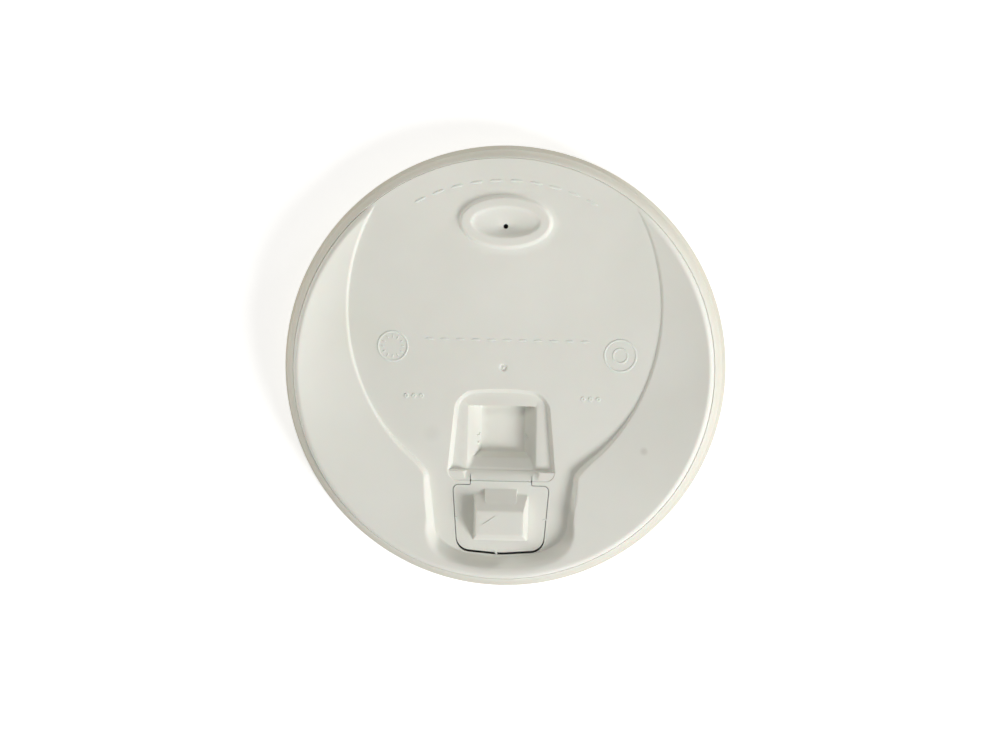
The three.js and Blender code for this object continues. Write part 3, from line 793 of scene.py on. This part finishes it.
def skirt_profile():
    """Line of the skirt from the rim edge down the outside, round the lip and up the inside."""
    radius, height = skirt_curve()
    outer = list(zip(radius[1:], height[1:]))
    outer += [(SKIRT_RADIUS - SKIRT_DRAFT * z, z) for z in SKIRT_LINES]
    outer += [(SKIRT_RADIUS + offset, z) for offset, z in LIP_ROOT_FILLET]
    lip = [(LIP_RADIUS - LIP_TOP_ROUND, LIP_TOP)]
    for angle in np.radians(np.linspace(60, 0, 5)):
        lip.append((LIP_RADIUS - LIP_TOP_ROUND * (1 - math.cos(angle)),
                    LIP_ROUND_Z + LIP_TOP_ROUND * math.sin(angle)))
    for angle in np.radians(np.linspace(0, -90, 4)):
        lip.append((LIP_RADIUS - LIP_FOOT_ROUND * (1 - math.cos(angle)),
                    LIP_FOOT_ROUND * (1 + math.sin(angle))))
    inner_radius = SKIRT_RADIUS - WALL
    inner = [(inner_radius + INNER_CHAMFER, 0), (inner_radius, INNER_CHAMFER)]
    for z in INNER_SKIRT_LINES:
        from_bead = min(abs(z - BEAD_HEIGHT) / BEAD_HALF_LENGTH, 1)
        bulge = math.cos(from_bead * math.pi / 2)
        inner.append((inner_radius - SKIRT_DRAFT * z - BEAD_DEPTH * bulge, z))
    tangent = np.gradient(np.column_stack([radius, height]), axis=0)
    normal = np.column_stack([-tangent[:, 1], tangent[:, 0]])
    normal /= np.hypot(*normal.T)[:, None]
    offset = np.column_stack([radius, height]) - WALL * np.abs(normal)
    rising = [tuple(p) for p in offset[::-1] if p[0] > RIM_RADIUS + 0.05]
    return outer + lip + inner + rising


def lid(material):
    points, faces, ring, count = lid_mesh()
    order = sorted({a for a, _ in ring}, key=lambda i: math.atan2(points[i][1], points[i][0]))
    directions = np.array([points[i][:2] / RIM_RADIUS for i in order])
    rows = [np.array(order)]
    for radius, height in skirt_profile():
        rows.append(np.arange(len(points), len(points) + len(order)))
        circle_points = np.column_stack([directions * radius, np.full(len(order), height)])
        points = np.vstack([points, circle_points])
    rows.append(np.array(order) + count)
    for upper, lower in zip(rows, rows[1:]):
        for i in range(len(order)):
            j = (i + 1) % len(order)
            faces.append([upper[i], lower[i], lower[j], upper[j]])
    return add_object("lid_shell", points, faces, material)


def tab(material):
    outline = resampled(tab_outline(), TAB_SPACING)
    loops = [outline]
    for share in NUB_LINES:
        half = NUB_HALF_WIDTH - share * NUB_SIDE_DRAFT
        far = NUB_FAR_Y + share * NUB_FRONT_DRAFT
        near = NUB_NEAR_Y - share * NUB_RAMP
        corners = [(x, y, NUB_CORNER)
                   for x, y in ((-half, far), (half, far), (half, near), (-half, near))]
        loops.append(resampled(rounded_outline(corners), NUB_SPACING))
    paths = []
    for offset in RIB_SIDE_LINES:
        for side in (-1, 1):
            y = np.linspace(NUB_NEAR_Y + RIB_REACH[0], NUB_NEAR_Y + RIB_REACH[1], 15)
            paths.append(np.column_stack([np.full(15, side * (RIB_HALF_WIDTH + offset)), y]))
    for offset in RIB_LINES:
        x = np.linspace(-RIB_REACH_HALF, RIB_REACH_HALF, 24)
        paths.append(np.column_stack([x, np.full(24, NUB_NEAR_Y + offset)]))
    xy, faces = triangulated(loops, paths, [], TAB_SCATTER)
    top = tab_height(xy[:, 0], xy[:, 1])
    bottom = under_height(tab_height, xy[:, 0], xy[:, 1])
    points, all_faces, edges = shell(xy, faces, top, bottom)
    for a, b in edges:
        all_faces.append([b, a, a + len(xy), b + len(xy)])
    return add_object("sip_tab_shell", points, all_faces, material)


def seal_ring(material):
    angle = np.linspace(0, 2 * math.pi, 240, endpoint=False)
    middle = SEAL_RADIUS - WALL / 2
    top = under_height(top_height, middle * np.cos(angle), middle * np.sin(angle)) + WALL / 2
    points, faces = [], []
    for offset, rise in SEAL_SECTION:
        radius = middle + offset
        height = top if rise is None else np.full_like(angle, SEAL_BOTTOM + rise)
        points.append(np.column_stack([radius * np.cos(angle), radius * np.sin(angle), height]))
    count = len(angle)
    for row in range(len(SEAL_SECTION)):
        following = (row + 1) % len(SEAL_SECTION)
        for i in range(count):
            j = (i + 1) % count
            faces.append([row * count + i, row * count + j,
                          following * count + j, following * count + i])
    return add_object("seal_ring", np.vstack(points), faces, material)


def bead(path, width, rise, closed=False, base=None):
    """Points and faces of a low rounded ridge along a path of (x, y) points on the top face."""
    path = np.asarray(path, float)
    ahead = np.roll(path, -1, axis=0) - np.roll(path, 1, axis=0)
    if not closed:
        ahead[0], ahead[-1] = path[1] - path[0], path[-1] - path[-2]
    ahead /= np.hypot(*ahead.T)[:, None]
    across = np.column_stack([-ahead[:, 1], ahead[:, 0]])
    floor = top_height(path[:, 0], path[:, 1]) if base is None else np.full(len(path), base)
    size = np.ones(len(path))
    if not closed:
        run = np.concatenate([[0], np.cumsum(np.hypot(*np.diff(path, axis=0).T))])
        ends = np.minimum(run, run[-1] - run) / (width / 2)
        size = np.sqrt(np.clip(1 - (1 - np.clip(ends, 0.05, 1)) ** 2, 0.02, 1))
    angles = np.radians([0, 25, 50, 75, 105, 130, 155, 180])
    rings = []
    for angle in angles:
        side = across * (math.cos(angle) * width / 2 * size)[:, None]
        rings.append(np.column_stack([path + side, floor + rise * math.sin(angle) * size]))
    for sign in (-1, 1):
        side = across * (sign * width / 2 * size)[:, None]
        rings.append(np.column_stack([path + side, floor - MARK_ROOT]))
    points = np.vstack(rings)
    count, total = len(path), len(rings)
    faces = []
    for row in range(total):
        following = (row + 1) % total
        for i in range(count if closed else count - 1):
            j = (i + 1) % count
            faces.append([row * count + i, following * count + i,
                          following * count + j, row * count + j])
    if not closed:
        faces.append([row * count for row in range(total)][::-1])
        faces.append([row * count + count - 1 for row in range(total)])
    return points, faces


def joined(parts):
    points, faces = [], []
    for part_points, part_faces in parts:
        first = sum(len(p) for p in points)
        points.append(part_points)
        faces.extend([[first + i for i in face] for face in part_faces])
    return np.vstack(points), faces


def deck_marks(material):
    """Plain raised marks on the deck: dashes, dots and dials without figures."""
    parts = []
    for middle in ARC_DASHES:
        angle = middle + ARC_DASH
        parts.append(bead(ARC_RADIUS * np.column_stack([np.cos(angle), np.sin(angle)]), *ARC_BEAD))
    for x in ROW_DASHES:
        dash = np.linspace((x - ROW_DASH_HALF, ROW_Y), (x + ROW_DASH_HALF, ROW_Y), 5)
        parts.append(bead(dash, *ROW_BEAD))
    for centre, radii in ((DIAL, (DIAL_RADIUS,)), (TARGET, TARGET_RADII)):
        for radius in radii:
            parts.append(bead(circle(radius, 48) + centre, *RING_BEAD, closed=True))
    for angle in np.radians(np.arange(0, 360, 30)):
        toward = np.array([math.cos(angle), math.sin(angle)])
        start, end = DIAL + DIAL_TICK[0] * toward, DIAL + DIAL_TICK[1] * toward
        parts.append(bead(np.linspace(start, end, 4), *TICK_BEAD))
    for x in DOTS_X:
        parts.append(bead(circle(DOT_RADIUS, 14) + [x, DOTS_Y], *DOT_BEAD, closed=True))
    return add_object("deck_marks", *joined(parts), material, 60)


def pocket_flash(material):
    """Small slivers that the nub has raised on the pocket's side walls."""
    parts = [bead(resampled(stroke, BURR_SPACING, False), *FLASH_BEAD)
             for stroke in FLASH_STROKES]
    return add_object("pocket_flash", *joined(parts), material, 60)


def nub_scratches(material):
    """Fine burrs on top of the nub, where it has rubbed in the pocket."""
    top = DECK + NUB_HEIGHT
    parts = [bead(resampled(stroke, BURR_SPACING, False), *SCRATCH_BEAD, base=top)
             for stroke in SCRATCH_STROKES]
    return add_object("nub_scratches", *joined(parts), material, 60)


def torn_nicks(material):
    """Stubs of the bridges that held the tab to the lid until it was first opened."""
    parts = [bead(resampled(stroke, NICK_SPACING, False), *NICK_BEAD, base=NICK_BASE)
             for stroke in NICK_STROKES]
    return add_object("torn_nicks", *joined(parts), material, 60)


def hinge_web(material):
    """Thin web that joins the tab to the lid along the hinge."""
    near, far = HINGE_Y + SLIT / 2, HINGE_Y - SLIT / 2
    wide, fine = WEB_STEPS
    rows = [near + WEB_OVERLAP, near, HINGE_Y + wide, HINGE_Y + fine, HINGE_Y,
            HINGE_Y - fine, HINGE_Y - wide, far, far - WEB_OVERLAP]
    columns = np.linspace(-NECK_HALF_WIDTH, NECK_HALF_WIDTH, 41)
    upper = [(x, y, z) for y, z in zip(rows, WEB_TOPS) for x in columns]
    lower = [(x, y, WEB_BOTTOM) for y in rows for x in columns]
    width, height = len(columns), len(rows)
    half = width * height
    faces = []
    for row in range(height - 1):
        for i in range(width - 1):
            a, b = row * width + i, (row + 1) * width + i
            faces.append([a, b, b + 1, a + 1])
            faces.append([half + a, half + a + 1, half + b + 1, half + b])
    # Loop round the edge of the web, from which its four sides are made
    border = [*range(width), *((row + 1) * width + width - 1 for row in range(height - 1))]
    border += [*reversed(range((height - 1) * width, height * width - 1))]
    border += [row * width for row in range(height - 2, 0, -1)]
    for a, b in zip(border, border[1:] + border[:1]):
        faces.append([a, b, half + b, half + a])
    return add_object("hinge_web", upper + lower, faces, material)


# Materials

def node(tree, kind, links=(), **values):
    made = tree.nodes.new(kind)
    for name, value in values.items():
        setattr(made, name, value)
    for socket, source in links:
        if isinstance(source, bpy.types.NodeSocket):
            tree.links.new(source, made.inputs[socket])
        else:
            made.inputs[socket].default_value = source
    return made


def tinted(tree, tone, tint, distance, start, end):
    """The tone multiplied by a tint where the distance passes from start to end."""
    share = node(tree, "ShaderNodeMapRange", [
        ("Value", distance), ("From Min", start), ("From Max", end)])
    mix = node(tree, "ShaderNodeMix", data_type="RGBA", blend_type="MULTIPLY")
    tree.links.new(share.outputs["Result"], mix.inputs["Factor"])
    tree.links.new(tone, mix.inputs["A"])
    mix.inputs["B"].default_value = (*tint, 1)
    return mix.outputs["Result"]


def plastic(name, colour, shade, roughness):
    """Moulded polypropylene: a faint cloudy tone, a skirt darker and warmer partly with age and
    partly as painted shade, dirt, and a fine-grained satin skin.
    """
    material = bpy.data.materials.new(name)
    material.use_nodes = True
    tree = material.node_tree
    shader = tree.nodes["Principled BSDF"]
    place = tree.nodes.new("ShaderNodeTexCoord").outputs["Object"]
    clouds = node(tree, "ShaderNodeTexNoise", [
        ("Vector", place), ("Scale", CLOUD_SCALE), ("Detail", 4.0)])
    grain = node(tree, "ShaderNodeTexNoise", [
        ("Vector", place), ("Scale", GRAIN_SCALE), ("Detail", 2.0)])
    cloudy = node(tree, "ShaderNodeMapRange", [
        ("Value", clouds.outputs["Fac"]), ("From Min", 0.3), ("From Max", 0.7)])
    mix = node(tree, "ShaderNodeMix", data_type="RGBA")
    tree.links.new(cloudy.outputs["Result"], mix.inputs["Factor"])
    mix.inputs["A"].default_value = (*shade, 1)
    mix.inputs["B"].default_value = (*colour, 1)
    tone = mix.outputs["Result"]
    flat = node(tree, "ShaderNodeVectorMath", [(0, place), (1, (1, 1, 0))], operation="MULTIPLY")
    radius = node(tree, "ShaderNodeVectorMath", [(0, flat.outputs[0])], operation="LENGTH")
    # Skirt tint: partly a slight yellowing, partly painted shade that darkens and warms the lid's
    # sides
    tone = tinted(tree, tone, SKIRT_SHADE_AND_YELLOWING, radius.outputs["Value"],
                  (RIM_RADIUS - 0.2) * MM, (RIM_RADIUS + 0.8) * MM)
    for x, y, size, stain in STAINS:
        centre = (x * MM, y * MM, 0)
        offset = node(tree, "ShaderNodeVectorMath", [(0, flat.outputs[0]), (1, centre)],
                      operation="DISTANCE")
        tone = tinted(tree, tone, stain, offset.outputs["Value"], size * MM, 0.3 * size * MM)
    tree.links.new(tone, shader.inputs["Base Color"])
    rough = node(tree, "ShaderNodeMapRange", [
        ("Value", grain.outputs["Fac"]),
        ("To Min", roughness - 0.05), ("To Max", roughness + 0.07)])
    tree.links.new(rough.outputs["Result"], shader.inputs["Roughness"])
    bump = node(tree, "ShaderNodeBump", [
        ("Height", grain.outputs["Fac"]), ("Strength", 0.06), ("Distance", 0.0001)])
    tree.links.new(bump.outputs["Normal"], shader.inputs["Normal"])
    shader.inputs["IOR"].default_value = 1.49
    shader.inputs["Specular IOR Level"].default_value = 0.12
    shader.inputs["Subsurface Weight"].default_value = 0.12
    shader.inputs["Subsurface Scale"].default_value = 0.0015
    return material


# Set

def add_camera():
    """Camera where the photograph was taken: nearly overhead, a little behind and to the right."""
    data = bpy.data.cameras.new("camera")
    camera = bpy.data.objects.new("camera", data)
    bpy.context.scene.collection.objects.link(camera)
    tilt, azimuth, roll = map(math.radians, (CAMERA_TILT, CAMERA_AZIMUTH, CAMERA_ROLL))
    target = Vector((0.0, 0.0, DECK * MM))
    camera.location = target + CAMERA_DISTANCE * Vector((
        math.sin(tilt) * math.cos(azimuth), math.sin(tilt) * math.sin(azimuth), math.cos(tilt)))
    forward = (target - camera.location).normalized()
    up = Vector((math.sin(roll), math.cos(roll), 0))
    right = forward.cross(up).normalized()
    up = right.cross(forward)
    camera.rotation_euler = Matrix((right, up, -forward)).transposed().to_euler()
    data.sensor_width = SENSOR_WIDTH
    data.lens = SENSOR_WIDTH * CAMERA_DISTANCE / (IMAGE_WIDTH * PIXEL * MM)
    data.shift_x, data.shift_y = (pixels / IMAGE_WIDTH for pixels in CAMERA_SHIFT)
    bpy.context.scene.camera = camera


def add_light(name, azimuth, elevation, distance, size, power, colour):
    data = bpy.data.lights.new(name, "AREA")
    data.shape = "DISK"
    data.size = size
    data.energy = power
    data.color = colour
    light = bpy.data.objects.new(name, data)
    bpy.context.scene.collection.objects.link(light)
    azimuth, elevation = math.radians(azimuth), math.radians(elevation)
    light.location = distance * Vector((
        math.cos(elevation) * math.cos(azimuth), math.cos(elevation) * math.sin(azimuth),
        math.sin(elevation)))
    forward = Vector(LIGHT_TARGET) - light.location
    light.rotation_euler = forward.to_track_quat("-Z", "Y").to_euler()


def add_world(level):
    world = bpy.data.worlds.new("world")
    bpy.context.scene.world = world
    world.use_nodes = True
    tree = world.node_tree
    paths = tree.nodes.new("ShaderNodeLightPath")
    seen = paths.outputs["Is Camera Ray"]
    for ray in ("Is Transmission Ray", "Is Glossy Ray"):
        either = node(tree, "ShaderNodeMath", [(0, seen), (1, paths.outputs[ray])],
                      operation="MAXIMUM")
        seen = either.outputs[0]
    light = tree.nodes["Background"]
    light.inputs["Color"].default_value = WORLD_COLOUR
    light.inputs["Strength"].default_value = level
    white = node(tree, "ShaderNodeBackground", [("Color", (1, 1, 1, 1)), ("Strength", 1.0)])
    mix = node(tree, "ShaderNodeMixShader", [
        (0, seen), (1, light.outputs[0]), (2, white.outputs[0])])
    tree.links.new(mix.outputs[0], tree.nodes["World Output"].inputs["Surface"])


def add_floor():
    mesh = bpy.data.meshes.new("floor")
    half = FLOOR_HALF
    corners = [(-half, -half, 0), (half, -half, 0), (half, half, 0), (-half, half, 0)]
    mesh.from_pydata(corners, [], [(0, 1, 2, 3)])
    floor = bpy.data.objects.new("floor", mesh)
    bpy.context.scene.collection.objects.link(floor)
    material = bpy.data.materials.new("floor_paper")
    material.use_nodes = True
    tree = material.node_tree
    shader = tree.nodes["Principled BSDF"]
    shader.inputs["Base Color"].default_value = (FLOOR_TONE, FLOOR_TONE, FLOOR_TONE, 1)
    shader.inputs["Roughness"].default_value = 0.9
    paths = tree.nodes.new("ShaderNodeLightPath")
    place = tree.nodes.new("ShaderNodeTexCoord").outputs["Object"]
    from_centre = node(tree, "ShaderNodeVectorMath", [(0, place)], operation="LENGTH")
    strength = node(tree, "ShaderNodeMapRange", [
        ("Value", from_centre.outputs["Value"]), ("From Min", LIFT_RADII[0] * MM),
        ("From Max", LIFT_RADII[1] * MM), ("To Max", LIFT_STRENGTH)])
    lift = node(tree, "ShaderNodeEmission", [
        ("Color", (1, 1, 1, 1)), ("Strength", strength.outputs["Result"])])
    both = node(tree, "ShaderNodeAddShader", [(0, shader.outputs[0]), (1, lift.outputs[0])])
    mix = node(tree, "ShaderNodeMixShader", [
        (0, paths.outputs["Is Camera Ray"]), (1, shader.outputs[0]), (2, both.outputs[0])])
    tree.links.new(mix.outputs[0], tree.nodes["Material Output"].inputs["Surface"])
    mesh.materials.append(material)


add_camera()

white = plastic("white_polypropylene", COLOUR, SHADE, ROUGHNESS)

pieces = [
    (lid(white), "lid", "lid_plastic", "lid_body"),
    (seal_ring(white), "lid", "lid_plastic", None),
    (deck_marks(white), "lid", "lid_plastic", None),
    (pocket_flash(white), "lid", "lid_plastic", None),
    (tab(white), "tab", "tab_plastic", "sip_tab"),
    (nub_scratches(white), "tab", "tab_plastic", None),
    (torn_nicks(white), "tab", "tab_plastic", None),
]
for piece, body, slot, replaced in pieces:
    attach(piece, body)
    if replaced:
        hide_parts(replaced)

web = hinge_web(white)
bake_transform(web)

add_floor()
add_world(WORLD_LEVEL)
for light in LIGHTS:
    add_light(*light)

scene = bpy.context.scene
scene.view_settings.view_transform = "Standard"
